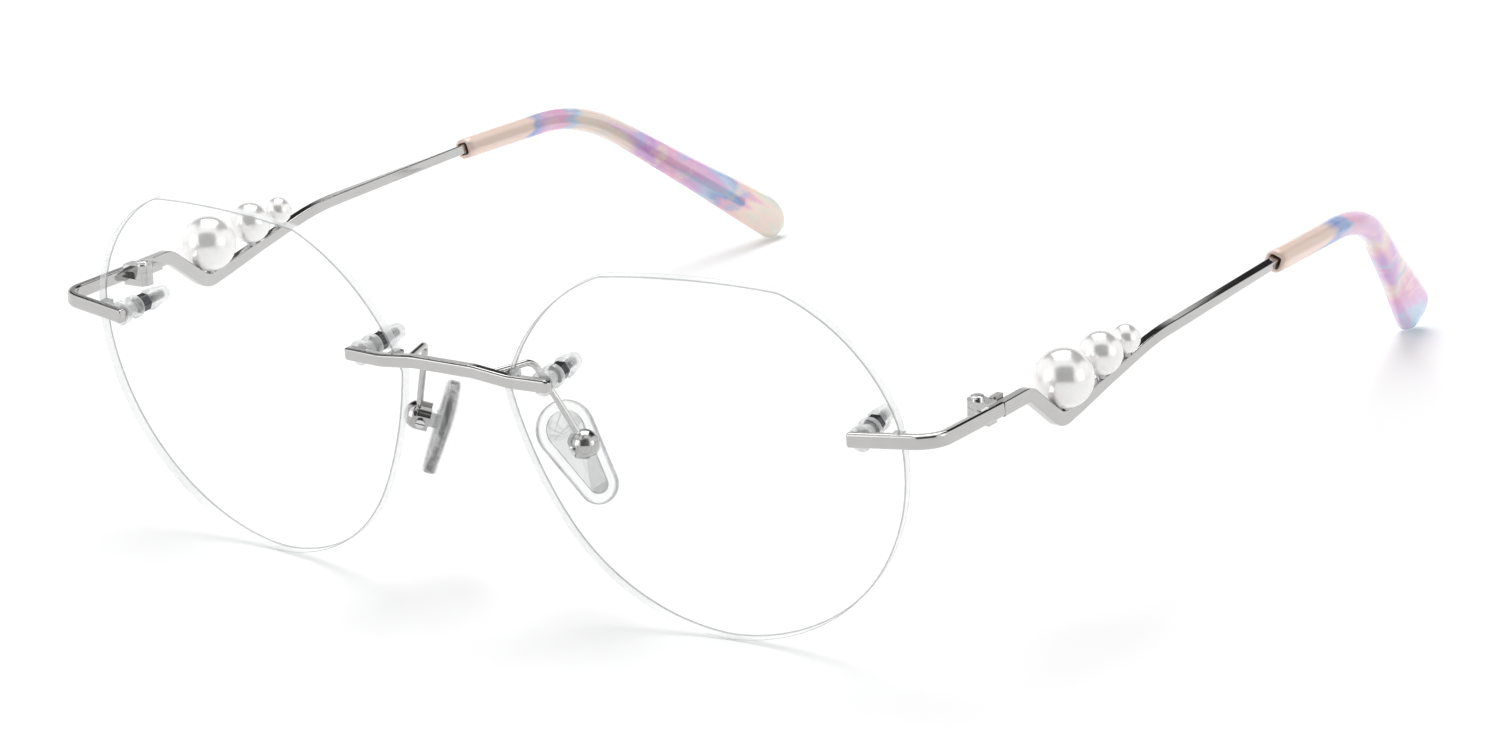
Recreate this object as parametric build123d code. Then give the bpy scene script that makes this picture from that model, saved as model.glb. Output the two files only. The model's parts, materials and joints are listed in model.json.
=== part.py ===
from build123d import *
from math import cos, radians, sin, sqrt
import os

# Rimless eyeglasses with a bead trim on each temple, open, resting on the lens bottoms and temple tips.
# Frame: +Y runs from the lenses back along the temples, +Z is up, +X is the wearer's left.
# Lengths are millimetres, angles are degrees.

# Lens
LENS_THICKNESS = 1.4
LENS_CURVE = 520.0
LENS_HEIGHT = 47.4
LENS_X = 34.0
LENS_WRAP = 5.65
LENS_TILT = 7.1
LENS_BEVEL = 0.15
REST_DROP = 0.067
HALF_LENS = LENS_THICKNESS / 2
NASAL_HOLE = (-20.5, 7.9)
TEMPLE_HOLE = (21.6, 6.0)

# Mounting stack, measured along the lens normal
STUD_RADIUS = 0.6
BORE_RADIUS = 0.62
SLEEVE_RADIUS = 0.95
LENS_HOLE_RADIUS = 0.97
WASHER_RADIUS = 1.55
WASHER_THICKNESS = 0.8
FLANGE_RADIUS = 1.5
FLANGE_THICKNESS = 0.9
NUT_FLATS = 2.1
NUT_THICKNESS = 1.5
CAP_RADIUS = 1.4
CAP_LENGTH = 3.8
CAP_DOME = 1.05
CAP_NECK = 0.95
STUD_REACH = 2.7
SEAT_PLAY = 0.004
NOTCH_WIDTH = 1.06
NOTCH_PLAY = 0.02
NOTCH_DEPTH = 1.0
LENS_EDGE_NASAL = -25.7
LENS_EDGE_TEMPLE = 26.1

# Bridge bar
BRIDGE_HALF = 14.7
BRIDGE_Z = 31.35
BRIDGE_RISE = 0.55
BRIDGE_BOW = 0.45
BRIDGE_DEPTH = 1.3
BRIDGE_HEIGHT = 1.6

# Endpiece bar, hinge and temple
BAR_X = 65.5
BAR_WIDTH = 1.3
BAR_HEIGHT = 1.8
RISE_HEIGHT = 1.45
BAR_ROUND = 0.2
ENDPIECE_ROUND = 0.42
ENDPIECE_INNER = (54.5, 4.1, 29.4)
ENDPIECE_CORNER = (BAR_X, 5.6, 30.2)
ENDPIECE_BEND = 3.2
JOINT_Y = 19.9
JOINT_Z = 29.9
JOINT_GAP = 0.1
HINGE_X = 63.25
HINGE_Y = 18.6
KNUCKLE_RADIUS = 1.25
KNUCKLE_HEIGHT = 0.9
KNUCKLE_PLAY = 0.02
HINGE_PIN_RADIUS = 0.5
HINGE_HOLE_RADIUS = 0.52
FLANGE_HEIGHT = 2.2
FLANGE_LIFT = 0.3
HUMP_Y = 26.3
VALLEY = (33.55, 24.35)
RISE_END = (57.0, 28.3)
VALLEY_RADIUS = 3.2
RISE_BEND = 50.0
LEVEL_Y = 61.5
MOUTH = (64.4, 90.0, 28.3)
SLIM_HEIGHT = 1.3
SLIM_WIDTH = 1.2
CORE_HEIGHT = 1.1
CORE_WIDTH = 0.95

# Acetate tip
EAR_BEND = (63.4, 117.0, 27.4)
TIP_END = (53.9, 150.4, 3.5)
EAR_BEND_RADIUS = 30.0
TIP_ROUND = 3.3
TIP_FACET = 0.75
CORE_SHARE = 0.92
SLIM_SINK = 2.0
POCKET_DEPTH = 0.8
# Each station: share of the tip's length, height, width
TIP_STATIONS = (
    (0, 2.9, 2.8),
    (0.3, 3.0, 2.8),
    (0.5, 3.4, 2.7),
    (0.75, 4.6, 2.55),
    (0.93, 6.1, 2.4),
    (1, 6.5, 2.35),
)

# Beads, each as distance back along the temple, centre height and radius
BEADS = ((34.67, 29.35, 3.7), (43.5, 29.85, 2.75), (49.6, 29.9, 1.85))
PEG_RADIUS = 0.4
SEAT_RADIUS = 0.6

# Nose pads
PAD_CENTRE = (10.6, 11.95, 18.75)
PAD_UP = (-0.443, -0.101, 0.891)
PAD_OUT = (0.7635, -0.5626, 0.3158)
PAD_LENGTH = 14.0
PAD_TOP_RADIUS = 3.7
PAD_LOW_RADIUS = 2.5
PAD_LEAN = 0.45
PAD_THICKNESS = 2.3
PAD_ROUND = 0.9
INSERT_INSET = 1.3
INSERT_THICKNESS = 0.5
CUP_OFFSET = 1.0
CUP_RADIUS = 1.85
CUP_FLAT = 1.55
CUP_BASE = 1.85
CUP_DEPTH = 1.4
PIVOT_OUT = 2.9
TAB_WIDTH = 0.8
SLOT_WIDTH = 0.86
EYE_RADIUS = 1.15
PAD_PIN_RADIUS = 0.36
ARM_RADIUS = 0.42
ARM_START_X = 6.1
ARM_CORNER = (8.1, 6.6, 31.6)
ARM_BEND = 1.8

# Whole-object placing
LENS_REACH = LENS_HEIGHT / 2 * cos(radians(LENS_TILT))
LENS_Z = LENS_REACH + HALF_LENS * sin(radians(LENS_TILT)) - REST_DROP
LENS_Y = 4.5
MID_Y = 76.31

WRAP = radians(LENS_WRAP)
TILT = radians(LENS_TILT)
ACROSS = (cos(WRAP), sin(WRAP), 0)
FRONT = (sin(WRAP) * cos(TILT), -cos(WRAP) * cos(TILT), -sin(TILT))
LENS_PLANE = Plane(origin=(LENS_X, LENS_Y, LENS_Z), x_dir=ACROSS, z_dir=FRONT)
FLAT_BASE = (Align.CENTER, Align.CENTER, Align.MIN)
FLAT_TOP = (Align.CENTER, Align.CENTER, Align.MAX)
SIDE_BASE = (Align.MAX, Align.MIN, Align.CENTER)


def lens_outline():
    """Rounded geometric outline: arched top, two shoulders, side corners and a circular bottom."""
    top_in = (-11.6, 22.5)
    top_out = (12.2, 23.0)
    side_out = (26.1, 8.0)
    bottom = (0.6, -LENS_HEIGHT / 2)
    low_in = (-20.3, -11.1)
    side_in = (-26.5, 6.0)
    with BuildSketch() as sketch:
        with BuildLine():
            ThreePointArc(top_in, (0, 23.4), top_out)
            ThreePointArc(top_out, (20.7, 17.3), side_out)
            ThreePointArc(side_out, (20.2, -14.3), bottom)
            ThreePointArc(bottom, (-12.0, -19.7), low_in)
            ThreePointArc(low_in, (-23.9, -3.5), side_in)
            ThreePointArc(side_in, (-20.4, 16.4), top_in)
        make_face()
        corners = sketch.vertices()
        fillet([v for v in corners if v.Y > 20], 3.5)
        fillet([v for v in corners if 0 < v.Y < 20], 4.0)
        fillet([v for v in corners if -20 < v.Y < 0], 12.0)
    return sketch.sketch


def mount_plane(hole):
    """Plane on the lens mid-surface at a hole, its Z along the outward lens normal there."""
    u, v = hole
    rise = sqrt(LENS_CURVE**2 - u**2 - v**2)
    local = Plane(origin=(u, v, rise - LENS_CURVE), x_dir=(1, 0, -u / rise), z_dir=(u, v, rise))
    return Plane(LENS_PLANE.location * local.location)


def bar_plane(start, end):
    """Plane on a bar centreline: X along the bar away from the nose, Y pointing back."""
    along = (Vector(*end) - Vector(*start)).normalized()
    back = Vector(0, 1, 0)
    back = (back - along * back.dot(along)).normalized()
    return Plane(origin=start, x_dir=along, z_dir=along.cross(back))


def ahead_of_bar(plane, depth):
    """Block filling everything in front of a bar's rear face."""
    block = Box(24, 24, 24, align=(Align.CENTER, Align.MAX, Align.CENTER))
    return plane.location * Pos(0, depth / 2, 0) * block


def rounded_bar(path, up, width, height, corner):
    """Bar of rounded rectangular section swept along a path that lies in one plane."""
    section_plane = Plane(origin=path @ 0, x_dir=up, z_dir=path % 0)
    section = section_plane * RectangleRounded(height, width, corner)
    return sweep(section, path=path)


def lens(holes_and_edges):
    blank = extrude(lens_outline(), amount=6, both=True)
    centre = Pos(0, 0, -LENS_CURVE) * Rot(90, 0, 0)
    shell = centre * Sphere(LENS_CURVE + HALF_LENS) - centre * Sphere(LENS_CURVE - HALF_LENS)
    body = blank & shell
    optical_faces = body.faces().sort_by(SortBy.AREA)[-2:]
    body = chamfer(optical_faces.edges(), LENS_BEVEL)
    body = LENS_PLANE.location * body
    for hole, edge in holes_and_edges:
        body -= mount_plane(hole).location * Cylinder(LENS_HOLE_RADIUS, 4)
        body -= notch_block(hole, edge, NOTCH_PLAY, 8)
    return body


def notch_block(hole, edge, play, length):
    """Block standing in the lens edge beside a hole, open towards the outside of the lens."""
    side = 1 if edge > 0 else -1
    width = NOTCH_WIDTH + 2 * play
    depth = NOTCH_DEPTH + 1.0 + play
    block = Box(depth, width, length)
    centre_u = edge - side * (NOTCH_DEPTH + play) + side * depth / 2
    return LENS_PLANE.location * Pos(centre_u, hole[1], 0) * block


def notch_tab(hole, edge, bar):
    side = 1 if edge > 0 else -1
    block = Box(NOTCH_DEPTH + 0.3, NOTCH_WIDTH, 6, align=FLAT_BASE)
    centre_u = edge - side * NOTCH_DEPTH + side * (NOTCH_DEPTH + 0.3) / 2
    sag = edge**2 / 2 / LENS_CURVE
    tab = LENS_PLANE.location * Pos(centre_u, hole[1], -HALF_LENS - sag) * block
    return tab - bar


def front_washer(mount, bar):
    ring = Cylinder(WASHER_RADIUS, 3, align=FLAT_BASE) - Cylinder(BORE_RADIUS, 9)
    return mount.location * Pos(0, 0, HALF_LENS + SEAT_PLAY) * ring - bar


def stud(mount, bar):
    rear = HALF_LENS + FLANGE_THICKNESS + NUT_THICKNESS + STUD_REACH
    pin = Cylinder(STUD_RADIUS, rear + 4, align=FLAT_BASE)
    pin = chamfer(pin.edges().group_by(Axis.Z)[0], 0.15)
    return mount.location * Pos(0, 0, -rear) * pin - bar


def rear_bushing(mount):
    flange = Cylinder(FLANGE_RADIUS, FLANGE_THICKNESS - SEAT_PLAY, align=FLAT_TOP)
    flange = fillet(flange.edges().group_by(Axis.Z)[0], 0.2)
    sleeve = Cylinder(SLEEVE_RADIUS, LENS_THICKNESS, align=FLAT_BASE)
    ring = Pos(0, 0, -SEAT_PLAY) * flange + Pos(0, 0, -SEAT_PLAY) * sleeve
    ring -= Cylinder(BORE_RADIUS, 9)
    return mount.location * Pos(0, 0, -HALF_LENS) * ring


def hex_nut(mount):
    body = extrude(RegularPolygon(NUT_FLATS / 2, 6, major_radius=False), amount=-NUT_THICKNESS)
    rounding = Cylinder(NUT_FLATS / 2 * 1.12, NUT_THICKNESS, align=FLAT_TOP)
    body = body & rounding
    body -= Cylinder(BORE_RADIUS, 9)
    return mount.location * Pos(0, 0, -HALF_LENS - FLANGE_THICKNESS) * body


def clear_cap(mount):
    """Tapered cap with a domed end and a blind bore around the stud end."""
    with BuildPart() as cap:
        with BuildSketch(Plane.XZ):
            with BuildLine():
                bore_end = -STUD_REACH - 0.1
                dome_z = CAP_DOME - CAP_LENGTH
                slope = CAP_DOME * sqrt(0.5)
                Polyline((0, bore_end), (BORE_RADIUS, bore_end), (BORE_RADIUS, 0), (CAP_NECK, 0))
                Polyline((CAP_NECK, 0), (CAP_NECK, -0.3), (CAP_RADIUS, -0.45), (CAP_RADIUS, -0.9))
                Line((CAP_RADIUS, -0.9), (CAP_DOME, dome_z))
                ThreePointArc((CAP_DOME, dome_z), (slope, dome_z - slope), (0, -CAP_LENGTH))
                Line((0, -CAP_LENGTH), (0, bore_end))
            make_face()
        revolve(axis=Axis.Z)
    depth = HALF_LENS + FLANGE_THICKNESS + NUT_THICKNESS
    return mount.location * Pos(0, 0, -depth) * cap.part


def bridge_points():
    """Bar centreline: level ends ahead of the lens mounts and a slightly raised, forward middle."""
    shoulder_y = -BRIDGE_BOW * 0.8
    crown = (4.4, -BRIDGE_BOW, BRIDGE_Z + BRIDGE_RISE)
    half = [(BRIDGE_HALF, 0, BRIDGE_Z), (9.6, shoulder_y, BRIDGE_Z), crown]
    return half + [(-x, y, z) for x, y, z in reversed(half)]


def strip(line, width):
    return make_face(offset(line, amount=width / 2, side=Side.BOTH))


def bridge_bar():
    points = bridge_points()
    plan = FilletPolyline(*[(x, y) for x, y, z in points], radius=9)
    front = FilletPolyline(*[(x, z) for x, y, z in points], radius=9)
    from_above = extrude(strip(plan, BRIDGE_DEPTH), amount=40)
    from_front = extrude(Plane.XZ * strip(front, BRIDGE_HEIGHT), amount=20, both=True)
    bar = from_above & from_front
    return fillet(bar.edges(), 0.3)


def endpiece():
    """L-shaped bar: along the lens front, round the corner and back to the hinge."""
    corner = Vector(*ENDPIECE_CORNER)
    rear = (BAR_X, JOINT_Y + 2, JOINT_Z)
    path = FilletPolyline(ENDPIECE_INNER, ENDPIECE_CORNER, rear, radius=ENDPIECE_BEND)
    up = (Vector(*ENDPIECE_INNER) - corner).cross(Vector(*rear) - corner).normalized()
    up = up if up.Z > 0 else -up
    bar = rounded_bar(path, up, BAR_WIDTH, BAR_HEIGHT, ENDPIECE_ROUND)
    inner_face = bar.faces().sort_by_distance(ENDPIECE_INNER)[0]
    bar = fillet(inner_face.edges(), 0.25)
    cut = Pos(0, JOINT_Y, 0) * Box(300, 20, 300, align=(Align.CENTER, Align.MIN, Align.CENTER))
    return bar - cut


def knuckle(level, leaf_back, leaf_front, leaf_side):
    """Hinge ring at one of three levels with a leaf reaching out towards the bar."""
    base = JOINT_Z - 1.5 * KNUCKLE_HEIGHT - KNUCKLE_PLAY + level * (KNUCKLE_HEIGHT + KNUCKLE_PLAY)
    ring = Cylinder(KNUCKLE_RADIUS, KNUCKLE_HEIGHT, align=FLAT_BASE)
    size = (leaf_side, leaf_back + leaf_front, KNUCKLE_HEIGHT)
    leaf = Pos(0, -leaf_front, 0) * Box(*size, align=(Align.MIN, Align.MIN, Align.MIN))
    hole = Cylinder(HINGE_HOLE_RADIUS, 9)
    return Pos(HINGE_X, HINGE_Y, base) * (ring + leaf - hole)


def front_knuckles(bar):
    reach = BAR_X - HINGE_X
    pair = [knuckle(level, 0.6, KNUCKLE_RADIUS, reach) - bar for level in (0, 2)]
    return Compound(children=pair)


def rear_knuckle(temple):
    """Middle ring, its leaf and the raised flange that lies along the temple's inner face."""
    inner_face = BAR_X - BAR_WIDTH / 2
    ring = knuckle(1, JOINT_Y - HINGE_Y + 2.6, 0, inner_face - HINGE_X - JOINT_GAP)
    place = Pos(inner_face, JOINT_Y, JOINT_Z + FLANGE_LIFT)
    weld = place * Pos(0.05, 0.1, 0) * Box(0.8, 1.7, FLANGE_HEIGHT, align=SIDE_BASE)
    nose = place * Pos(-JOINT_GAP, -0.5, 0) * Box(0.5, 1.0, FLANGE_HEIGHT, align=SIDE_BASE)
    return ring + weld + nose - temple


def hinge_screw():
    top = JOINT_Z + 1.5 * KNUCKLE_HEIGHT + KNUCKLE_PLAY
    length = 3 * KNUCKLE_HEIGHT + 2 * KNUCKLE_PLAY
    head = Cylinder(0.85, 0.45, align=FLAT_BASE)
    head = fillet(head.edges().group_by(Axis.Z)[-1], 0.15)
    slot = Pos(0, 0, 0.25) * Box(2, 0.24, 1, align=FLAT_BASE)
    shank = Cylinder(HINGE_PIN_RADIUS, length, align=FLAT_TOP)
    return Pos(HINGE_X, HINGE_Y, top) * (head - slot + shank)


def tip_path():
    return FilletPolyline(MOUTH, EAR_BEND, TIP_END, radius=EAR_BEND_RADIUS)


def tip_plane(at):
    """Plane across the tip centreline: X up within the tip's own plane, Z back along the tip."""
    path = tip_path()
    along = path % at
    side = (Vector(*TIP_END) - Vector(*EAR_BEND)).cross(Vector(*EAR_BEND) - Vector(*MOUTH)).normalized()
    up = side.cross(along)
    up = up if up.Z > 0 else -up
    return Plane(origin=path @ at, x_dir=up, z_dir=along)


def facet_section(at, height, width):
    """Flattened octagon: a rectangle with its four corners cut off."""
    sketch = Rectangle(height, width)
    return tip_plane(at) * chamfer(sketch.vertices(), TIP_FACET)


def bar_section(point, along, height):
    across = Plane(origin=point, x_dir=(0, -along[2], along[1]), z_dir=along)
    return across * RectangleRounded(height, BAR_WIDTH, BAR_ROUND)


def temple_bar():
    """One metal arm: level past the hinge, down into the bead valley, up, then slim back into the tip."""
    start = (BAR_X, JOINT_Y + JOINT_GAP, JOINT_Z)
    hump = (BAR_X, HUMP_Y, JOINT_Z)
    valley = Vector(BAR_X, *VALLEY)
    rise = Vector(BAR_X, *RISE_END) - valley
    deep_end = valley + rise * 0.19
    thin_start = valley + rise * 0.5
    level = (BAR_X, LEVEL_Y, MOUTH[2])
    deep_path = FilletPolyline(start, hump, valley, deep_end, radius=VALLEY_RADIUS)
    thin_path = FilletPolyline(thin_start, valley + rise, level, radius=RISE_BEND)
    climb = tuple(rise.normalized())
    deep = rounded_bar(deep_path, (0, 0, 1), BAR_WIDTH, BAR_HEIGHT, BAR_ROUND)
    taper = loft([bar_section(deep_end, climb, BAR_HEIGHT), bar_section(thin_start, climb, RISE_HEIGHT)])
    thin = rounded_bar(thin_path, (0, -climb[2], climb[1]), BAR_WIDTH, RISE_HEIGHT, BAR_ROUND)
    slim_end = tip_plane(0) * RectangleRounded(SLIM_HEIGHT, SLIM_WIDTH, BAR_ROUND)
    slim = loft([bar_section(level, (0, 1, 0), RISE_HEIGHT), slim_end])
    core = rounded_bar(tip_path(), tip_plane(0).x_dir, CORE_WIDTH, CORE_HEIGHT, BAR_ROUND)
    core_end = tip_plane(CORE_SHARE).location * Box(40, 40, 60, align=FLAT_BASE)
    return deep + taper + thin + slim + extrude(slim_end, amount=SLIM_SINK) + (core - core_end)


def temple_tip(temple):
    """Acetate sleeve: slim at the mouth, bent down behind the ear, widening to a rounded paddle."""
    sections = [facet_section(*station) for station in TIP_STATIONS]
    sleeve = loft(sections) + extrude(sections[-1], amount=TIP_ROUND + 0.5)
    end = tip_plane(1)
    round_end = end.location * Rot(90, 0, 0) * Cylinder(TIP_ROUND, 30)
    behind = end.location * Box(200, 200, 200, align=FLAT_TOP)
    pocket = RectangleRounded(SLIM_HEIGHT + 0.35, SLIM_WIDTH + 0.35, BAR_ROUND + 0.15)
    pocket = extrude(tip_plane(0) * pocket, amount=POCKET_DEPTH, both=True)
    return (sleeve & (round_end + behind)) - pocket - temple


def bead_peg(bead, temple):
    """Seat and pin standing on the temple bar, passing into the bead."""
    y, z, radius = bead
    above = Box(9, 9, 9, align=FLAT_BASE)
    seat = Cylinder(SEAT_RADIUS, radius + 1.2, align=FLAT_TOP) - Pos(0, 0, -radius + 0.12) * above
    pin = Cylinder(PEG_RADIUS, radius + 1.2, align=FLAT_TOP) - Pos(0, 0, -radius * 0.3) * above
    peg = Pos(BAR_X, y, z) * (seat + pin) - temple
    return peg.solids().sort_by(Axis.Z)[-1]


def bead_ball(bead, peg):
    y, z, radius = bead
    return Pos(BAR_X, y, z) * Rot(0, 0, 45) * Sphere(radius) - peg


def pad_plane():
    """Plane on the pad's middle: Y up along the pad, Z out towards the lens."""
    up = Vector(*PAD_UP).normalized()
    out = Vector(*PAD_OUT).normalized()
    return Plane(origin=PAD_CENTRE, x_dir=up.cross(out), z_dir=out)


def pad_outline(inset):
    """Wide top leaning towards the back, narrow lower end, straight flanks between."""
    half = PAD_LENGTH / 2
    top = Pos(-PAD_LEAN, half - PAD_TOP_RADIUS) * Circle(PAD_TOP_RADIUS - inset)
    low = Pos(0, PAD_LOW_RADIUS - half) * Circle(PAD_LOW_RADIUS - inset)
    return make_hull((top + low).edges())


def pad_insert():
    """Plate inside the silicone with an eye-shaped tab standing out of it to the pivot."""
    plate = extrude(pad_outline(INSERT_INSET), amount=INSERT_THICKNESS / 2, both=True)
    eye = Pos(0, CUP_OFFSET, PIVOT_OUT) * Rot(0, 90, 0) * Cylinder(EYE_RADIUS, TAB_WIDTH)
    neck = Pos(0, CUP_OFFSET, 0) * Box(TAB_WIDTH, 2 * EYE_RADIUS, PIVOT_OUT, align=FLAT_BASE)
    pin_hole = Pos(0, CUP_OFFSET, PIVOT_OUT) * Rot(0, 90, 0) * Cylinder(PAD_PIN_RADIUS + 0.02, 9)
    return pad_plane().location * (plate + eye + neck - pin_hole)


def nose_pad(insert):
    body = extrude(pad_outline(0), amount=PAD_THICKNESS / 2, both=True)
    body = fillet(body.edges(), PAD_ROUND)
    return pad_plane().location * body - insert


def cup_envelope():
    """Pad box as a solid: a short post with two flats and a domed end."""
    post = Pos(0, 0, CUP_BASE) * Cylinder(CUP_RADIUS, CUP_DEPTH, align=FLAT_BASE)
    dome = Pos(0, 0, CUP_BASE + CUP_DEPTH) * Sphere(CUP_RADIUS)
    below = Pos(0, 0, CUP_BASE) * Box(9, 9, 9, align=FLAT_TOP)
    flats = Box(2 * CUP_FLAT, 9, 20)
    return pad_plane().location * Pos(0, CUP_OFFSET, 0) * (((post + dome) & flats) - below)


def pad_cup():
    slot_depth = PIVOT_OUT + EYE_RADIUS + 1.1 - CUP_BASE
    slot = Pos(0, 0, CUP_BASE - 1) * Box(SLOT_WIDTH, 9, slot_depth, align=FLAT_BASE)
    pin_hole = Pos(0, 0, PIVOT_OUT) * Rot(0, 90, 0) * Cylinder(PAD_PIN_RADIUS + 0.01, 9)
    return cup_envelope() - pad_plane().location * Pos(0, CUP_OFFSET, 0) * (slot + pin_hole)


def pad_screw():
    head = Pos(0, 0, CUP_FLAT) * Cylinder(0.62, 0.28, align=FLAT_BASE)
    head = head - Pos(0, 0, CUP_FLAT + 0.14) * Box(3, 0.18, 1, align=FLAT_BASE)
    shank = Cylinder(PAD_PIN_RADIUS, 2 * CUP_FLAT)
    place = pad_plane().location * Pos(0, CUP_OFFSET, PIVOT_OUT) * Rot(0, -90, 0)
    return place * (head + shank)


def pad_arm(bar):
    """Round wire from the back of the bridge, looping round the lens edge and down to the pad box."""
    cup_point = pad_plane().location * Pos(0, CUP_OFFSET, CUP_BASE + CUP_DEPTH)
    path = FilletPolyline((ARM_START_X, 0, ARM_CORNER[2]), ARM_CORNER, cup_point.position, radius=ARM_BEND)
    wire = sweep(Plane(origin=path @ 0, z_dir=path % 0) * Circle(ARM_RADIUS), path=path)
    return wire - bar - cup_envelope()


def mount_set(place, hole, edge, bar, slab):
    """Everything that clamps one bar to the lens through one hole."""
    mount = mount_plane(hole)
    front = slab + bar
    return {
        place + "_stud": stud(mount, front),
        place + "_front_washer": front_washer(mount, front),
        place + "_rear_bushing": rear_bushing(mount),
        place + "_nut": hex_nut(mount),
        place + "_clear_cap": clear_cap(mount),
        place + "_notch_tab": notch_tab(hole, edge, front),
    }


def side_parts(bar):
    """Every piece of the wearer's left side."""
    end_bar = endpiece()
    temple = temple_bar()
    insert = pad_insert()
    pegs = [bead_peg(bead, temple) for bead in BEADS]
    balls = [bead_ball(bead, peg) for bead, peg in zip(BEADS, pegs)]
    nasal_slab = ahead_of_bar(bar_plane(*reversed(bridge_points()[:2])), BRIDGE_DEPTH)
    outer_slab = ahead_of_bar(bar_plane(ENDPIECE_INNER, ENDPIECE_CORNER), BAR_WIDTH)
    pieces = {
        "lens": lens(((NASAL_HOLE, LENS_EDGE_NASAL), (TEMPLE_HOLE, LENS_EDGE_TEMPLE))),
        "endpiece": end_bar,
        "front_knuckles": front_knuckles(end_bar),
        "hinge_screw": hinge_screw(),
        "temple_bar": temple,
        "rear_knuckle": rear_knuckle(temple),
        "temple_tip": temple_tip(temple),
        "bead_pegs": Compound(children=pegs),
        "bead_large": balls[0],
        "bead_middle": balls[1],
        "bead_small": balls[2],
        "pad_arm": pad_arm(bar),
        "pad_cup": pad_cup(),
        "pad_screw": pad_screw(),
        "pad_insert": insert,
        "nose_pad": nose_pad(insert),
    }
    pieces.update(mount_set("bridge", NASAL_HOLE, LENS_EDGE_NASAL, bar, nasal_slab))
    pieces.update(mount_set("endpiece", TEMPLE_HOLE, LENS_EDGE_TEMPLE, end_bar, outer_slab))
    return pieces


os.makedirs("parts", exist_ok=True)
centred = Pos(0, -MID_Y, 0)
bridge = bridge_bar()
export_step(centred * bridge, "parts/bridge.step")
for name, piece in side_parts(bridge).items():
    export_step(centred * piece, "parts/left_" + name + ".step")
    export_step(centred * mirror(piece, about=Plane.YZ), "parts/right_" + name + ".step")
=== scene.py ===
import json
import math

import bmesh
import bpy
from mathutils import Matrix, Vector

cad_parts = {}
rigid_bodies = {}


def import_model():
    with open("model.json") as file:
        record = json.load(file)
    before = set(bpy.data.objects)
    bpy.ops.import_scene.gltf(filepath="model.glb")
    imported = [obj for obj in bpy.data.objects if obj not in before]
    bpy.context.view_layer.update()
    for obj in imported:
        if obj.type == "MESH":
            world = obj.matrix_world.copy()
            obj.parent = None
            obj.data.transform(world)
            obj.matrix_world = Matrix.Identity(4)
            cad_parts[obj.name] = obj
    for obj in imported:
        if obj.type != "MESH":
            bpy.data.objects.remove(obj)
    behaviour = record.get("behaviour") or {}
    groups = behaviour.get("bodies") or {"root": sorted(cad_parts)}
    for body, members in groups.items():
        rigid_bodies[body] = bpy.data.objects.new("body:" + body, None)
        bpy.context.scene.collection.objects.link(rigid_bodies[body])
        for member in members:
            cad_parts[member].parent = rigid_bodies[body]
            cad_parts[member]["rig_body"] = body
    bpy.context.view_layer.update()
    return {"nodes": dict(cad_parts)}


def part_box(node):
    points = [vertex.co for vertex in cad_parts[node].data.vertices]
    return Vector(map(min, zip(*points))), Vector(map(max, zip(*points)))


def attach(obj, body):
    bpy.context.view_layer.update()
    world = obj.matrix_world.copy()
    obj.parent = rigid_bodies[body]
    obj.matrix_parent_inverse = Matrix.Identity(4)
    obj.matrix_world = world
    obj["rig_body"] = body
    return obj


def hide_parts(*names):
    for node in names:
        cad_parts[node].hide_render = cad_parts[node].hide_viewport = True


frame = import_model()
NODES = frame["nodes"]
SIDES = ("left", "right")
SIGNS = {"left": 1, "right": -1}

# Camera: viewing angle and roll in degrees, place in metres, lens and sensor in millimetres
AZIMUTH = 34.895
ELEVATION = 18.16
ROLL = -2.857
CAMERA_PLACE = Vector((0.353674, -0.531357, 0.216539))
FOCAL_MM = 120.57
SENSOR_MM = 36
SHIFT = (0.0367, 0.0069)
CLIP = (0.01, 50)

# Brightness of the studio behind and in front of the object, against the sine of the height above the horizon
BACK_BANDS = ((0.0, 0.9), (0.31, 0.85), (0.4, 0.03), (0.84, 0.03), (0.93, 1.0))
FRONT_BANDS = ((0.0, 1.0), (0.3, 1.2), (0.7, 1.25), (0.86, 1.1), (0.95, 1.1))
SIDE_LEVEL = 1.15
OPENING_LEVEL = 0.08
OPENING_LIFT = 0.27

# Area lights: name, place and size in metres, power in watts
LIGHTS = (
    ("key", (-0.24, 0.34, 0.9), (0.7, 0.7), 6.4),
    ("left_panel", (-0.5, -0.85, 0.3), (0.45, 0.6), 1.5),
    ("right_panel", (1.0, 0.12, 0.25), (0.4, 0.45), 1.0),
)
LIGHT_TARGET = Vector((0, 0, 0.02))
FLOOR_REACH = 6.0
FLOOR_DROP = 0.00002

# Metals: painted shade on the core starts inside the tip's mouth and darkens over CORE_FADE; lengths in
# metres
SILVER = (0.52, 0.515, 0.51)
CORE_SHADE = (0.012, 0.008, 0.014)
# Colour and strength of the painted dark reflection along the rounded upper edges of the bridge
EDGE_REFLECTION_DARK = (0.05, 0.05, 0.05)
EDGE_REFLECTION_STRENGTH = 0.9
PLATE_ROUGHNESS = 0.08
CORE_FADE = 0.0008
THREAD_PITCH = 0.00035

# Each lens faces forward, turned out by its wrap and down by its tilt. PAD_OUT is the way from the nose out
# through the wearer's left pad.
LENS_WRAP = math.radians(5.65)
LENS_TILT = math.radians(7.1)
PAD_OUT = (0.764, -0.563, 0.316)

# How squarely a part of the lens must face out to count as its face, and as a bevel rather than the edge
FACE_SHARE = 0.93
BEVEL_SHARE = 0.35

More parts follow.
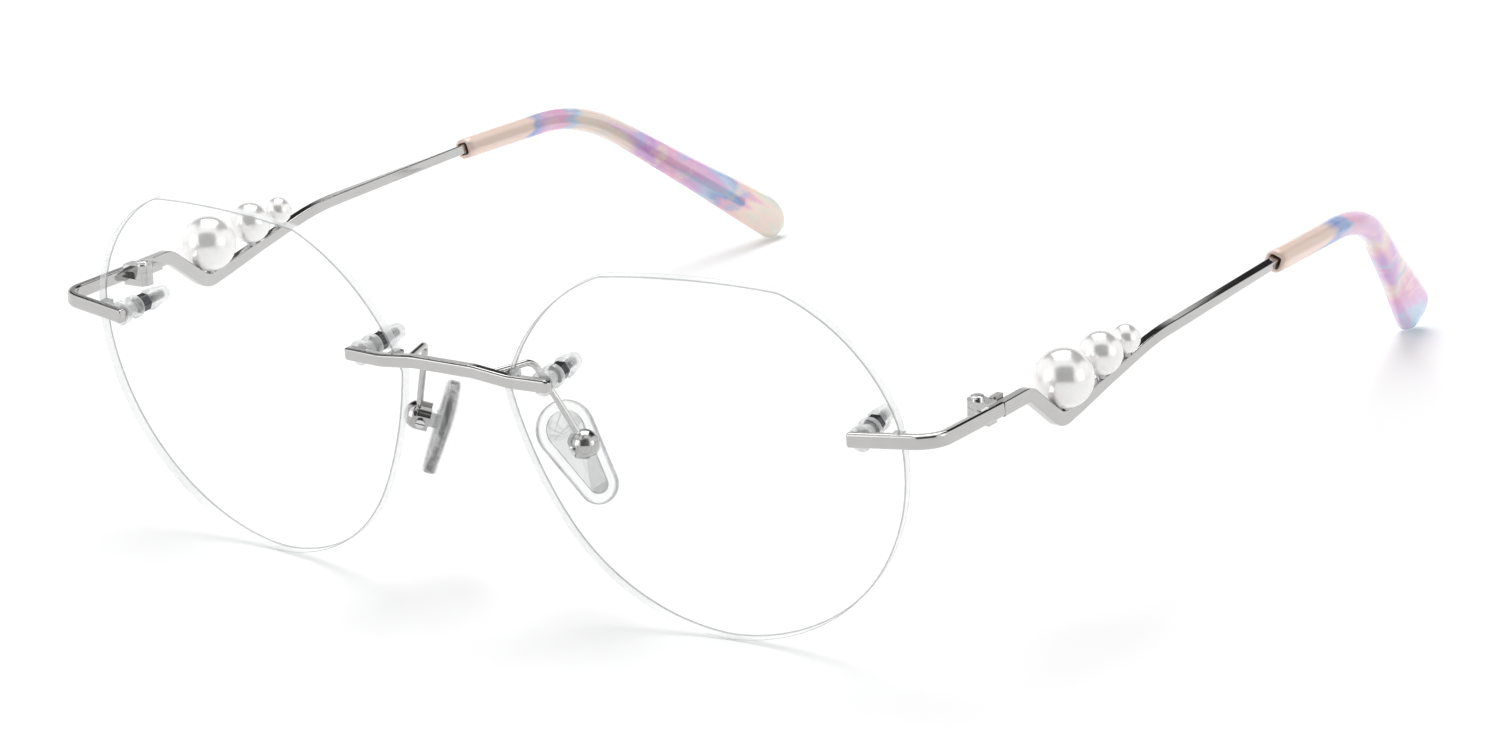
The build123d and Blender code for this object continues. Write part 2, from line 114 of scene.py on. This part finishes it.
# Colours of the plastic tips, and where they lie along each tip as shares of its length
CREAM = (0.90, 0.71, 0.61)
PALE_CREAM = (0.84, 0.72, 0.62)
SAGE = (0.74, 0.76, 0.66)
BLUE = (0.26, 0.40, 0.74)
SKY = (0.44, 0.62, 0.80)
END_SKY = (0.38, 0.60, 0.80)
PINK = (0.82, 0.43, 0.60)
LILAC = (0.68, 0.40, 0.70)
VIOLET = (0.56, 0.30, 0.68)
ROSE = (0.78, 0.34, 0.54)
CREAM_PATCH = (0.86, 0.68, 0.58)
BLUE_PATCH = (0.36, 0.50, 0.76)
# Painted shade on the walls of the pocket inside the tip's mouth
POCKET_SHADE = (0.42, 0.27, 0.22)
RIGHT_WASH = (
    (0.0, CREAM), (0.14, CREAM), (0.18, BLUE), (0.235, LILAC), (0.31, PINK), (0.36, SKY), (0.4, PALE_CREAM),
    (0.48, PALE_CREAM), (0.53, LILAC), (0.6, VIOLET), (0.68, PINK), (0.75, LILAC), (0.8, SKY), (0.85, BLUE),
    (0.89, PINK), (0.94, CREAM), (1.0, SAGE),
)
LEFT_WASH = (
    (0.0, CREAM), (0.19, CREAM), (0.24, BLUE), (0.3, BLUE), (0.34, PINK), (0.42, LILAC), (0.5, PALE_CREAM),
    (0.57, PINK), (0.64, VIOLET), (0.7, LILAC), (0.77, PALE_CREAM), (0.84, ROSE), (0.93, LILAC),
    (0.975, SKY), (1.0, END_SKY),
)
# Side, colours, and where in the noise the side's pattern starts
TIP_LOOKS = (("left", LEFT_WASH, 4.2), ("right", RIGHT_WASH, 1.7))

# Plastic tip of the wearer's left arm, in millimetres: x out from the centre plane, y back from the tip's
# mouth, z up from the floor
TIP_MOUTH = Vector((64.4, 0.0, 28.3))
TIP_BEND = Vector((63.4, 27.0, 27.4))
TIP_END = Vector((53.9, 60.4, 3.5))
TIP_BEND_RADIUS = 30.0
# Share of the tip's length, with its height and width there
TIP_STATIONS = (
    (0, 2.9, 2.8), (0.3, 3.0, 2.8), (0.5, 3.4, 2.7), (0.75, 4.6, 2.55), (0.93, 6.1, 2.4), (1, 6.5, 2.35),
)
TIP_STEPS = 56
TIP_FACET = 0.75
EDGE_SOFT = 0.35
# Length of the rounded end, the share of the height left at its last ring and the share of the width lost
TIP_ROUND = 3.3
END_HEIGHT = 0.06
END_TAPER = 0.45
# Height that the whole of the tip's map would span
MAP_HEIGHT = 7
MOUTH_LIP = 0.3
# Height, width and depth of the pocket that the metal bar enters, and the cut of its corners
POCKET = (1.7, 1.6, 0.8)
POCKET_FACET = 0.2
POCKET_SOFT = 0.15
# Shares of the length below INSIDE_SHARE are the pocket's walls, painted dark as shade; the skin starts at
# SKIN_SHARE
INSIDE_SHARE = 0.012
SKIN_SHARE = 0.02


# ---------------------------------------------------------------- node graphs
class Graph:
    """A material's or world's node tree with short calls for adding and linking nodes."""

    def __init__(self, name):
        self.material = bpy.data.materials.new(name)
        self.material.use_nodes = True
        self.tree = self.material.node_tree
        self.tree.nodes.clear()
        self.output = self.tree.nodes.new("ShaderNodeOutputMaterial")
        self.coords = self.tree.nodes.new("ShaderNodeTexCoord").outputs["Object"]

    @classmethod
    def of_tree(cls, tree):
        graph = cls.__new__(cls)
        graph.tree = tree
        return graph

    def set(self, socket, value):
        if isinstance(value, bpy.types.NodeSocket):
            self.tree.links.new(value, socket)
        else:
            socket.default_value = value

    def add(self, kind, sockets=None, **settings):
        node = self.tree.nodes.new("ShaderNode" + kind)
        for key, value in settings.items():
            setattr(node, key, value)
        for key, value in (sockets or {}).items():
            self.set(node.inputs[key], value)
        return node

    def math(self, operation, a, b=0.0, clamp=False):
        node = self.add("Math", {0: a, 1: b}, operation=operation, use_clamp=clamp)
        return node.outputs[0]

    def dot(self, a, b):
        return self.add("VectorMath", {0: a, 1: b}, operation="DOT_PRODUCT").outputs["Value"]

    def split(self, vector, axis):
        return self.add("SeparateXYZ", {0: vector}).outputs[axis]

    def grey(self, level):
        return self.add("CombineColor", {0: level, 1: level, 2: level}).outputs[0]

    def coordinates(self, kind):
        """The surface's own coordinates of a kind: Normal, UV or Generated."""
        return self.add("TexCoord").outputs[kind]

    def outline(self, blend):
        """Rises from 0 where the surface is seen face on to 1 at its outline."""
        return self.add("LayerWeight", {"Blend": blend}).outputs["Facing"]

    def scaled(self, scale, offset=(0, 0, 0), vector=None):
        start = self.coords if vector is None else vector
        return self.add("Mapping", {"Vector": start, "Scale": scale, "Location": offset}).outputs[0]

    def noise(self, scale, detail=3.0, roughness=0.5, vector=None, distortion=0.0):
        sockets = {"Scale": scale, "Detail": detail, "Roughness": roughness, "Distortion": distortion}
        sockets["Vector"] = self.coords if vector is None else vector
        return self.add("TexNoise", sockets).outputs["Fac"]

    def ramp(self, factor, stops):
        node = self.add("ValToRGB", {"Fac": factor})
        items = node.color_ramp.elements
        for position, colour in stops[2:]:
            items.new(position)
        for item, (position, colour) in zip(items, stops):
            item.position = position
        for item, (position, colour) in zip(items, stops):
            item.color = (*colour, 1)
        return node.outputs["Color"]

    def range(self, value, low, high, to_low, to_high):
        sockets = {"Value": value, 1: low, 2: high, 3: to_low, 4: to_high}
        return self.add("MapRange", sockets).outputs[0]

    def mix_colour(self, factor, a, b, mode="MIX"):
        node = self.add("Mix", data_type="RGBA", blend_type=mode)
        self.set(node.inputs[0], factor)
        self.set(node.inputs[6], a if isinstance(a, bpy.types.NodeSocket) else (*a, 1))
        self.set(node.inputs[7], b if isinstance(b, bpy.types.NodeSocket) else (*b, 1))
        return node.outputs[2]

    def bump(self, height, strength, distance):
        return self.add("Bump", {"Height": height, "Strength": strength, "Distance": distance}).outputs[0]

    def principled(self, **sockets):
        named = {key.replace("_", " "): value for key, value in sockets.items()}
        return self.add("BsdfPrincipled", named).outputs[0]

    def see_through(self, colour):
        return self.add("BsdfTransparent", {"Color": (*colour, 1)}).outputs[0]

    def mix_shader(self, factor, a, b):
        return self.add("MixShader", {0: factor, 1: a, 2: b}).outputs[0]

    def finish(self, shader):
        self.set(self.output.inputs["Surface"], shader)
        return self.material


# ---------------------------------------------------------------- objects
def put(name, data):
    """New object in the scene with the given mesh, light or camera data."""
    obj = bpy.data.objects.new(name, data)
    bpy.context.scene.collection.objects.link(obj)
    return obj


# ---------------------------------------------------------------- materials
def polished_metal(name, colour, roughness, dark_from=None, edge_line=0.0):
    """Plated metal: faint polishing streaks, handling haze and a slightly uneven plate colour.

    Behind dark_from, inside the plastic tips, the wire is painted near black as shade inside the plastic
    sleeve. With edge_line, a painted dark reflection of that strength sits along the rounded upper edges
    of a bar that lies nearly level.
    """
    g = Graph(name)
    haze = g.noise(260, 4, 0.6)
    streaks = g.noise(900, 2, 0.5, vector=g.scaled((1, 0.18, 1)))
    tone = g.range(haze, 0.3, 0.7, 0.94, 1.0)
    base = g.mix_colour(1.0, colour, g.grey(tone), "MULTIPLY")
    handled = g.math("ADD", g.math("MULTIPLY", haze, 0.65), g.math("MULTIPLY", streaks, 0.35))
    rough = g.range(handled, 0.35, 0.7, roughness, roughness + 0.06)
    if dark_from is not None:
        # Painted shade: the wire inside the plastic tip turns near black
        past_mouth = g.range(g.split(g.coords, 1), dark_from, dark_from + CORE_FADE, 0, 1)
        base = g.mix_colour(past_mouth, base, CORE_SHADE)
    if edge_line:
        # Painted dark reflection: darkens the rounded upper edges, where the surface faces up at a slant
        up = g.split(g.coordinates("Normal"), 2)
        line = g.math("MULTIPLY", g.range(up, 0.25, 0.5, 0, 1), g.range(up, 0.8, 0.93, 1, 0))
        base = g.mix_colour(g.math("MULTIPLY", line, edge_line), base, EDGE_REFLECTION_DARK)
    normal = g.bump(g.noise(2200, 3, 0.55), 0.06, 0.00002)
    return g.finish(g.principled(Base_Color=base, Metallic=1.0, Roughness=rough, Normal=normal))


def threaded_metal(name, colour, roughness, axis):
    """Turned steel with a fine thread round it, darker in the thread's grooves as painted shade."""
    g = Graph(name)
    wave = g.math("SINE", g.math("MULTIPLY", g.dot(g.coords, axis), 2 * math.pi / THREAD_PITCH))
    grain = g.noise(1800, 2)
    # Painted shade: where the wave is low, in the grooves, the colour drops to less than half
    base = g.mix_colour(g.range(wave, -1, 1, 0, 1), tuple(c * 0.45 for c in colour), colour)
    normal = g.bump(wave, 0.6, 0.00006)
    rough = g.range(grain, 0.3, 0.7, roughness, roughness + 0.12)
    return g.finish(g.principled(Base_Color=base, Metallic=1.0, Roughness=rough, Normal=normal))


def satin_plate(name):
    """Pale blasted plate inside the pads: soft grey shading, a fine grain and no clear reflections."""
    g = Graph(name)
    grain = g.noise(2600, 4, 0.6)
    cloud = g.noise(240, 3)
    base = g.mix_colour(g.range(cloud, 0.3, 0.7, 0, 1), (0.72, 0.72, 0.725), (0.80, 0.80, 0.80))
    rough = g.range(grain, 0.3, 0.7, 0.32, 0.45)
    normal = g.bump(grain, 0.12, 0.00002)
    return g.finish(g.principled(Base_Color=base, Metallic=0.35, Roughness=rough, Normal=normal))


def clear_plastic(name, tint, cover, clarity):
    """Clear moulded plastic: see-through face on, milky towards its outlines, which end in a darker line of
    painted reflection.
    """
    g = Graph(name)
    rim = g.outline(0.35)
    cloud = g.noise(700, 3)
    haze = g.range(cloud, 0.3, 0.7, 0.75, 1.15)
    amount = g.math("MULTIPLY", g.range(rim, 0.0, 1.0, cover, 0.92), haze, clamp=True)
    # Painted dark reflection: the colour darkens to a third where the surface is seen edge on
    base = g.mix_colour(g.range(rim, 0.6, 1.0, 0, 1), tint, tuple(c * 0.3 for c in tint))
    body = g.principled(Base_Color=base, Roughness=0.12, IOR=1.49, Coat_Weight=0.6, Coat_Roughness=0.03,
                        Normal=g.bump(cloud, 0.08, 0.00005))
    return g.finish(g.mix_shader(amount, g.see_through((clarity, clarity, clarity)), body))


def lens_material(name, axis):
    """Clear lens: its faces reflect faintly, its ground edge is pale and its bevels are fine grey lines of
    painted dark reflection.
    """
    g = Graph(name)
    facing = g.math("ABSOLUTE", g.dot(g.coordinates("Normal"), axis))
    is_face = g.math("GREATER_THAN", facing, FACE_SHARE)
    off_edge = g.math("GREATER_THAN", facing, BEVEL_SHARE)
    bevel = g.math("MULTIPLY", off_edge, g.math("SUBTRACT", 1.0, is_face))
    ground = g.noise(3500, 3, 0.6)
    edge_tone = g.ramp(g.range(ground, 0.3, 0.7, 0, 1), [(0, (0.80, 0.81, 0.81)), (1, (0.93, 0.94, 0.94))])
    # Painted dark reflection: the bevels between the faces and the ground edge are grey
    edge_colour = g.mix_colour(bevel, edge_tone, (0.42, 0.43, 0.43))
    edge = g.principled(Base_Color=edge_colour, Roughness=0.28, IOR=1.5,
                        Normal=g.bump(ground, 0.15, 0.00003))
    cover = g.math("ADD", g.math("MULTIPLY", bevel, 0.25), 0.5)
    edge_mix = g.mix_shader(cover, g.see_through((0.97, 0.98, 0.98)), edge)
    glancing = g.math("POWER", g.outline(0.5), 4.0)
    smear = g.range(g.noise(35, 4, 0.65), 0.45, 0.75, 0.02, 0.05)
    mirror = g.add("BsdfGlossy", {"Color": (0.97, 0.98, 1, 1), "Roughness": smear}).outputs[0]
    share = g.math("ADD", g.math("MULTIPLY", glancing, 0.5), 0.012)
    face_mix = g.mix_shader(share, g.see_through((0.998, 1.0, 0.999)), mirror)
    return g.finish(g.mix_shader(is_face, edge_mix, face_mix))


def silicone(name, axis):
    """Soft clear silicone: clear through its faces, with dense grey streaks of painted dark reflection in its
    rounded side wall.
    """
    g = Graph(name)
    facing = g.math("ABSOLUTE", g.dot(g.coordinates("Normal"), axis))
    wall = g.range(facing, 0.3, 0.75, 1, 0)
    skin = g.noise(1500, 3, 0.6)
    streak = g.noise(420, 3, 0.6, vector=g.scaled((1, 1, 0.16)))
    # Painted dark reflection: grey streaks in the rounded side wall
    wall_reflection_greys = ((0, (0.10, 0.10, 0.105)), (0.45, (0.26, 0.26, 0.265)), (1, (0.62, 0.62, 0.62)))
    streaks = g.ramp(g.range(streak, 0.35, 0.65, 0, 1), wall_reflection_greys)
    base = g.mix_colour(wall, (0.95, 0.955, 0.955), streaks)
    amount = g.range(wall, 0.0, 1.0, 0.12, 0.8)
    rough = g.range(skin, 0.3, 0.7, 0.12, 0.24)
    body = g.principled(Base_Color=base, Roughness=rough, IOR=1.41, Coat_Weight=0.3, Coat_Roughness=0.1,
                        Normal=g.bump(skin, 0.05, 0.00004))
    return g.finish(g.mix_shader(amount, g.see_through((0.985, 0.988, 0.988)), body))


def nacre(name):
    """Pearl lustre: warm white body, faint pink and green overtones, painted shade towards the outline and a
    glassy outer layer.
    """
    g = Graph(name)
    layer = g.noise(420, 4, 0.55, distortion=0.6)
    overtone = g.ramp(g.range(layer, 0.3, 0.7, 0, 1),
                      [(0, (0.87, 0.845, 0.83)), (0.5, (0.875, 0.865, 0.855)), (1, (0.85, 0.862, 0.855))])
    # Painted shade: the body darkens towards the bead's outline
    base = g.mix_colour(g.range(g.outline(0.25), 0.2, 1, 0, 0.5), overtone, (0.80, 0.79, 0.78))
    ripples = g.noise(1300, 3, 0.5)
    rough = g.range(ripples, 0.3, 0.7, 0.19, 0.24)
    normal = g.bump(ripples, 0.02, 0.00002)
    return g.finish(g.principled(Base_Color=base, Metallic=0.48, Roughness=rough, IOR=1.6, Coat_Weight=0.5,
                                 Coat_Roughness=0.05, Coat_IOR=1.5, Normal=normal))


def acetate(name, stops, seed):
    """Translucent pastel sheet plastic: watercolour patches along the tip, glossy polished skin, with a
    painted sheen paling its outline.

    The tip's own map gives the share of its length and the height across it.
    """
    g = Graph(name)
    share = g.split(g.coordinates("UV"), 0)
    flow = g.scaled((4.5, 3.2, 1), (seed, seed, 0), g.coordinates("UV"))
    wander = g.noise(1.0, 1.6, 0.45, vector=flow)
    mottle = g.noise(260, 3, 0.55, vector=g.scaled((1, 0.7, 1), (seed, seed, seed)))
    drift = g.math("ADD", g.math("MULTIPLY", g.math("SUBTRACT", wander, 0.5), 0.34),
                   g.math("MULTIPLY", g.math("SUBTRACT", mottle, 0.5), 0.08))
    on_skin = g.math("GREATER_THAN", share, INSIDE_SHARE)
    drift = g.math("MULTIPLY", drift, g.range(share, SKIN_SHARE, 0.12, 0, 1))
    wash = g.ramp(g.math("ADD", share, drift, clamp=True), stops)
    patches = g.noise(260, 4, 0.55, vector=g.scaled((1, 0.6, 1), (seed + 3, 0, seed)))
    past_bend = g.range(share, 0.2, 0.3, 0, 1)
    is_cream = g.math("MULTIPLY", g.range(patches, 0.54, 0.66, 0, 0.7), past_bend)
    colour = g.mix_colour(is_cream, wash, CREAM_PATCH)
    clouds = g.noise(240, 3, 0.5, vector=g.scaled((1, 0.6, 1), (seed + 9, seed, 2)))
    is_blue = g.math("MULTIPLY", g.range(clouds, 0.6, 0.68, 0, 0.65), past_bend)
    colour = g.mix_colour(is_blue, colour, BLUE_PATCH)
    # Painted shade: the pocket's walls take a dark brown
    colour = g.mix_colour(on_skin, POCKET_SHADE, colour)
    # Painted sheen: the colour pales towards the tip's outline, where it is seen edge on
    rim = g.outline(0.4)
    pale = g.mix_colour(g.range(rim, 0.5, 1.0, 0, 0.35), colour, (0.88, 0.82, 0.86))
    body = g.principled(Base_Color=pale, Roughness=0.2, IOR=1.49, Coat_Weight=0.5, Coat_Roughness=0.06,
                        Subsurface_Weight=0.1, Subsurface_Scale=0.001,
                        Normal=g.bump(g.noise(900, 2), 0.03, 0.00004))
    cover = g.math("MAXIMUM", g.range(rim, 0.1, 0.8, 0.6, 0.95), g.math("SUBTRACT", 1.0, on_skin))
    return g.finish(g.mix_shader(cover, g.see_through((0.99, 0.96, 0.98)), body))


# ---------------------------------------------------------------- temple tips
def tip_spine(count):
    """Points and directions along the tip, and its length: straight, round behind the ear, straight."""
    before = (TIP_BEND - TIP_MOUTH).normalized()
    after = (TIP_END - TIP_BEND).normalized()
    turn = before.angle(after)
    reach = TIP_BEND_RADIUS * math.tan(turn / 2)
    first = (TIP_BEND - TIP_MOUTH).length - reach
    bend = TIP_BEND_RADIUS * turn
    last = (TIP_END - TIP_BEND).length - reach
    total = first + bend + last
    inward = (after - before * before.dot(after)).normalized()
    spine = []
    for step in range(count + 1):
        run = total * step / count
        if run < first:
            spine.append((TIP_MOUTH + before * run, before))
        elif run < first + bend:
            angle = (run - first) / TIP_BEND_RADIUS
            start = TIP_MOUTH + before * first
            moved = before * math.sin(angle) + inward * (1 - math.cos(angle))
            heading = before * math.cos(angle) + inward * math.sin(angle)
            spine.append((start + moved * TIP_BEND_RADIUS, heading))
        else:
            spine.append((TIP_END - after * (total - run), after))
    return spine, total


def tip_size(share):
    """Height and width of the tip at a share of its length."""
    for (s0, h0, w0), (s1, h1, w1) in zip(TIP_STATIONS, TIP_STATIONS[1:]):
        if share <= s1:
            mix = (share - s0) / (s1 - s0)
            return h0 + (h1 - h0) * mix, w0 + (w1 - w0) * mix
    return TIP_STATIONS[-1][1:]


def section(height, width, facet, soft):
    """Outline of a bar with cut corners whose edges are slightly rounded, as (height, width) points."""
    h, w = height / 2, width / 2
    corners = [(h, w - facet), (h - facet, w), (facet - h, w), (-h, w - facet),
               (-h, facet - w), (facet - h, -w), (h - facet, -w), (h, facet - w)]
    points = []
    for index, corner in enumerate(corners):
        here = Vector(corner)
        back = Vector(corners[index - 1]) - here
        ahead = Vector(corners[(index + 1) % len(corners)]) - here
        start = here + back * min(soft, 0.45 * back.length) / back.length
        end = here + ahead * min(soft, 0.45 * ahead.length) / ahead.length
        points += [start, (start + end) / 4 + here / 2, end]
    return points


def tip_rings():
    """Rings from the bottom of the mouth's pocket, over the lip, along the skin and round the end.

    Each ring is a list of (point, share of the length, height across) for the mesh and its map.
    """
    spine, total = tip_spine(TIP_STEPS)
    side = (TIP_END - TIP_BEND).cross(TIP_BEND - TIP_MOUTH).normalized()
    rings = []

    def ring(point, along, height, width, facet, share, soft=EDGE_SOFT):
        up = side.cross(along)
        up = up if up.z > 0 else -up
        across = along.cross(up)
        outline = section(height, width, facet, soft)
        rings.append([(point + up * a + across * b, share, 0.5 + a / MAP_HEIGHT) for a, b in outline])

    mouth, along = spine[0]
    pocket_h, pocket_w, depth = POCKET
    # Floor of the pocket, its wall up to near the mouth, then a slight widening into the lip
    for back, wider, share in ((depth, 0, 0.0), (0.12, 0, 0.0), (0.03, 0.08, SKIN_SHARE)):
        size = (pocket_h + wider, pocket_w + wider)
        ring(mouth + along * back, along, *size, POCKET_FACET, share, POCKET_SOFT)
    height, width = tip_size(0)
    for angle in (90, 60, 30):
        inset = MOUTH_LIP * (1 - math.cos(math.radians(angle)))
        back = MOUTH_LIP * (1 - math.sin(math.radians(angle)))
        facet = TIP_FACET - 0.6 * inset
        ring(mouth + along * back, along, height - 2 * inset, width - 2 * inset, facet, SKIN_SHARE)
    for step, (point, direction) in enumerate(spine):
        share = step / TIP_STEPS
        if share * total > MOUTH_LIP:
            height, width = tip_size(share)
            ring(point, direction, height, width, TIP_FACET, max(share, SKIN_SHARE))
    point, direction = spine[-1]
    height, width = tip_size(1)
    for angle in range(9, 91, 9):
        run = TIP_ROUND * math.sin(math.radians(angle))
        squeeze = max(math.cos(math.radians(angle)), END_HEIGHT)
        edge = 1 - END_TAPER * (angle / 90) ** 3
        facet = min(TIP_FACET, 0.42 * height * squeeze / 2, 0.42 * width * edge)
        soft = EDGE_SOFT * squeeze
        ring(point + direction * run, direction, height * squeeze, width * edge, facet, 1.0, soft)
    return rings


def make_tip(side_name, material):
    """Skin of one plastic tip, open at the mouth down to the bottom of its shallow pocket."""
    node = side_name + "_temple_tip"
    sign = SIGNS[side_name]
    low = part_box(node)[0]
    rings = tip_rings()
    lowest = min(point.y for ring in rings for point, share, lift in ring)
    mesh_data = bmesh.new()
    uv = mesh_data.loops.layers.uv.new("tip")
    where = {}
    loops = []
    for ring in rings:
        verts = []
        for point, share, lift in ring:
            place = (sign * point.x / 1000, low.y + (point.y - lowest) / 1000, point.z / 1000)
            vert = mesh_data.verts.new(place)
            where[vert] = (share, lift)
            verts.append(vert)
        loops.append(verts)
    for first, second in zip(loops, loops[1:]):
        for index, vert in enumerate(first):
            after = (index + 1) % len(first)
            mesh_data.faces.new((vert, first[after], second[after], second[index]))
    mesh_data.faces.new(loops[0])
    mesh_data.faces.new(loops[-1])
    bmesh.ops.recalc_face_normals(mesh_data, faces=mesh_data.faces)
    for face in mesh_data.faces:
        face.smooth = True
        for loop in face.loops:
            loop[uv].uv = where[loop.vert]
    mesh = bpy.data.meshes.new(node + "_skin")
    mesh_data.to_mesh(mesh)
    mesh_data.free()
    mesh.materials.append(material)
    obj = put(node + "_skin", mesh)
    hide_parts(node)
    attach(obj, NODES[node]["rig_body"])


# ---------------------------------------------------------------- looks of the carried nodes
def assign(obj, material):
    obj.data.materials.clear()
    obj.data.materials.append(material)


def paint(material, *suffixes, sides=SIDES):
    for side in sides:
        for suffix in suffixes:
            assign(NODES[side + "_" + suffix], material)


def paint_metal():
    tip_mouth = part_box("left_temple_tip")[0].y
    # The bridge's top edges carry the painted dark reflection
    bridge_metal = polished_metal("bridge_plate", SILVER, PLATE_ROUGHNESS, edge_line=EDGE_REFLECTION_STRENGTH)
    assign(NODES["bridge"], bridge_metal)
    paint(polished_metal("silver_plate", SILVER, PLATE_ROUGHNESS),
          "endpiece", "front_knuckles", "rear_knuckle", "pad_arm")
    paint(polished_metal("temple_plate", SILVER, PLATE_ROUGHNESS, dark_from=tip_mouth), "temple_bar")
    paint(polished_metal("cup_plate", (0.46, 0.455, 0.45), 0.06), "pad_cup")
    paint(polished_metal("screw_steel", (0.70, 0.70, 0.71), 0.14),
          "hinge_screw", "pad_screw", "bridge_notch_tab", "endpiece_notch_tab")
    paint(polished_metal("nut_steel", (0.05, 0.05, 0.055), 0.14), "bridge_nut", "endpiece_nut")
    paint(polished_metal("bead_seat_steel", (0.42, 0.42, 0.43), 0.16), "bead_pegs")
    paint(satin_plate("pad_plate_steel"), "pad_insert")


def paint_clear_and_pearl():
    paint(clear_plastic("washer_plastic", (0.93, 0.94, 0.94), 0.2, 0.93),
          "bridge_front_washer", "endpiece_front_washer", "bridge_rear_bushing", "endpiece_rear_bushing")
    paint(clear_plastic("cap_plastic", (0.88, 0.89, 0.89), 0.06, 0.92),
          "bridge_clear_cap", "endpiece_clear_cap")
    paint(nacre("bead_nacre"), "bead_large", "bead_middle", "bead_small")


def paint_side(side):
    """Pieces whose material follows the direction that their own side's lens or pad faces."""
    sign = SIGNS[side]
    pad_axis = (sign * PAD_OUT[0], PAD_OUT[1], PAD_OUT[2])
    lens_axis = (
        sign * math.sin(LENS_WRAP) * math.cos(LENS_TILT),
        -math.cos(LENS_WRAP) * math.cos(LENS_TILT),
        -math.sin(LENS_TILT),
    )
    assign(NODES[side + "_nose_pad"], silicone(side + "_pad_silicone", pad_axis))
    assign(NODES[side + "_lens"], lens_material(side + "_lens_clear", lens_axis))
    thread = threaded_metal(side + "_stud_steel", (0.07, 0.07, 0.075), 0.22, lens_axis)
    paint(thread, "bridge_stud", "endpiece_stud", sides=(side,))


# ---------------------------------------------------------------- stage, light and camera
def make_floor():
    mesh = bpy.data.meshes.new("floor")
    reach = FLOOR_REACH
    corners = [(-reach, -reach, 0), (reach, -reach, 0), (reach, reach, 0), (-reach, reach, 0)]
    mesh.from_pydata(corners, [], [(0, 1, 2, 3)])
    obj = put("floor", mesh)
    g = Graph("floor_paper")
    tone = g.grey(g.range(g.noise(40, 3), 0.3, 0.7, 0.9, 0.91))
    obj.data.materials.append(g.finish(g.principled(Base_Color=tone, Roughness=0.9)))
    obj.location.z = -FLOOR_DROP


def area_light(name, place, size, power):
    data = bpy.data.lights.new(name, "AREA")
    data.shape = "RECTANGLE"
    data.size, data.size_y = size
    data.energy = power
    obj = put(name, data)
    obj.location = place
    obj.rotation_euler = (LIGHT_TARGET - Vector(place)).to_track_quat("-Z", "Y").to_euler()


def camera_axes():
    """Directions to the right of, above and back towards the camera, before its roll."""
    az, el = math.radians(AZIMUTH), math.radians(ELEVATION)
    back = Vector((math.sin(az) * math.cos(el), -math.cos(az) * math.cos(el), math.sin(el)))
    right = Vector((math.cos(az), math.sin(az), 0))
    return right, back.cross(right), back


def make_world():
    """Studio surroundings: pale sweep low down, dark band at the back, pale front with a dark opening."""
    world = bpy.data.worlds.new("studio")
    world.use_nodes = True
    g = Graph.of_tree(world.node_tree)
    direction = g.coordinates("Generated")
    height = g.split(direction, 2)
    right, up, back = camera_axes()
    opening = (back + up * OPENING_LIFT).normalized()
    above = right.cross(-opening)
    towards = g.dot(direction, (back.x, back.y, 0))
    is_front = g.range(towards, -0.15, 0.25, 0, 1)
    back_level = g.ramp(height, [(sine, (level,) * 3) for sine, level in BACK_BANDS])
    front_level = g.ramp(height, [(sine, (level,) * 3) for sine, level in FRONT_BANDS])
    sideways = g.dot(direction, right)
    across = g.math("ABSOLUTE", sideways)
    off_left = g.range(sideways, -0.62, -0.45, 1, 0)
    off_right = g.range(sideways, 0.7, 0.8, 0, 1)
    back_level = g.mix_colour(g.math("ADD", off_left, off_right), back_level, (SIDE_LEVEL,) * 3)
    level = g.mix_colour(is_front, back_level, front_level)
    along = g.math("ABSOLUTE", g.dot(direction, above))
    inside = g.math("MULTIPLY", g.range(across, 0.53, 0.6, 1, 0), g.range(along, 0.48, 0.55, 1, 0))
    inside = g.math("MULTIPLY", inside, g.range(towards, 0.3, 0.5, 0, 1))
    background = g.tree.nodes["Background"]
    g.set(background.inputs["Color"], level)
    g.set(background.inputs["Strength"], g.range(inside, 0, 1, 1, OPENING_LEVEL))
    bpy.context.scene.world = world


def make_camera():
    right, up, back = camera_axes()
    roll = math.radians(ROLL)
    side = right * math.cos(roll) + up * math.sin(roll)
    top = up * math.cos(roll) - right * math.sin(roll)
    data = bpy.data.cameras.new("camera")
    data.sensor_width = SENSOR_MM
    data.lens = FOCAL_MM
    data.shift_x, data.shift_y = SHIFT
    data.clip_start, data.clip_end = CLIP
    obj = put("camera", data)
    turn = Matrix((side, top, back)).transposed().to_4x4()
    obj.matrix_world = Matrix.Translation(CAMERA_PLACE) @ turn
    bpy.context.scene.camera = obj


paint_metal()
paint_clear_and_pearl()
for side in SIDES:
    paint_side(side)
for side, wash, seed in TIP_LOOKS:
    make_tip(side, acetate(side + "_acetate", wash, seed))

make_floor()
make_world()
for light in LIGHTS:
    area_light(*light)
make_camera()
bpy.context.scene.view_settings.view_transform = "Standard"
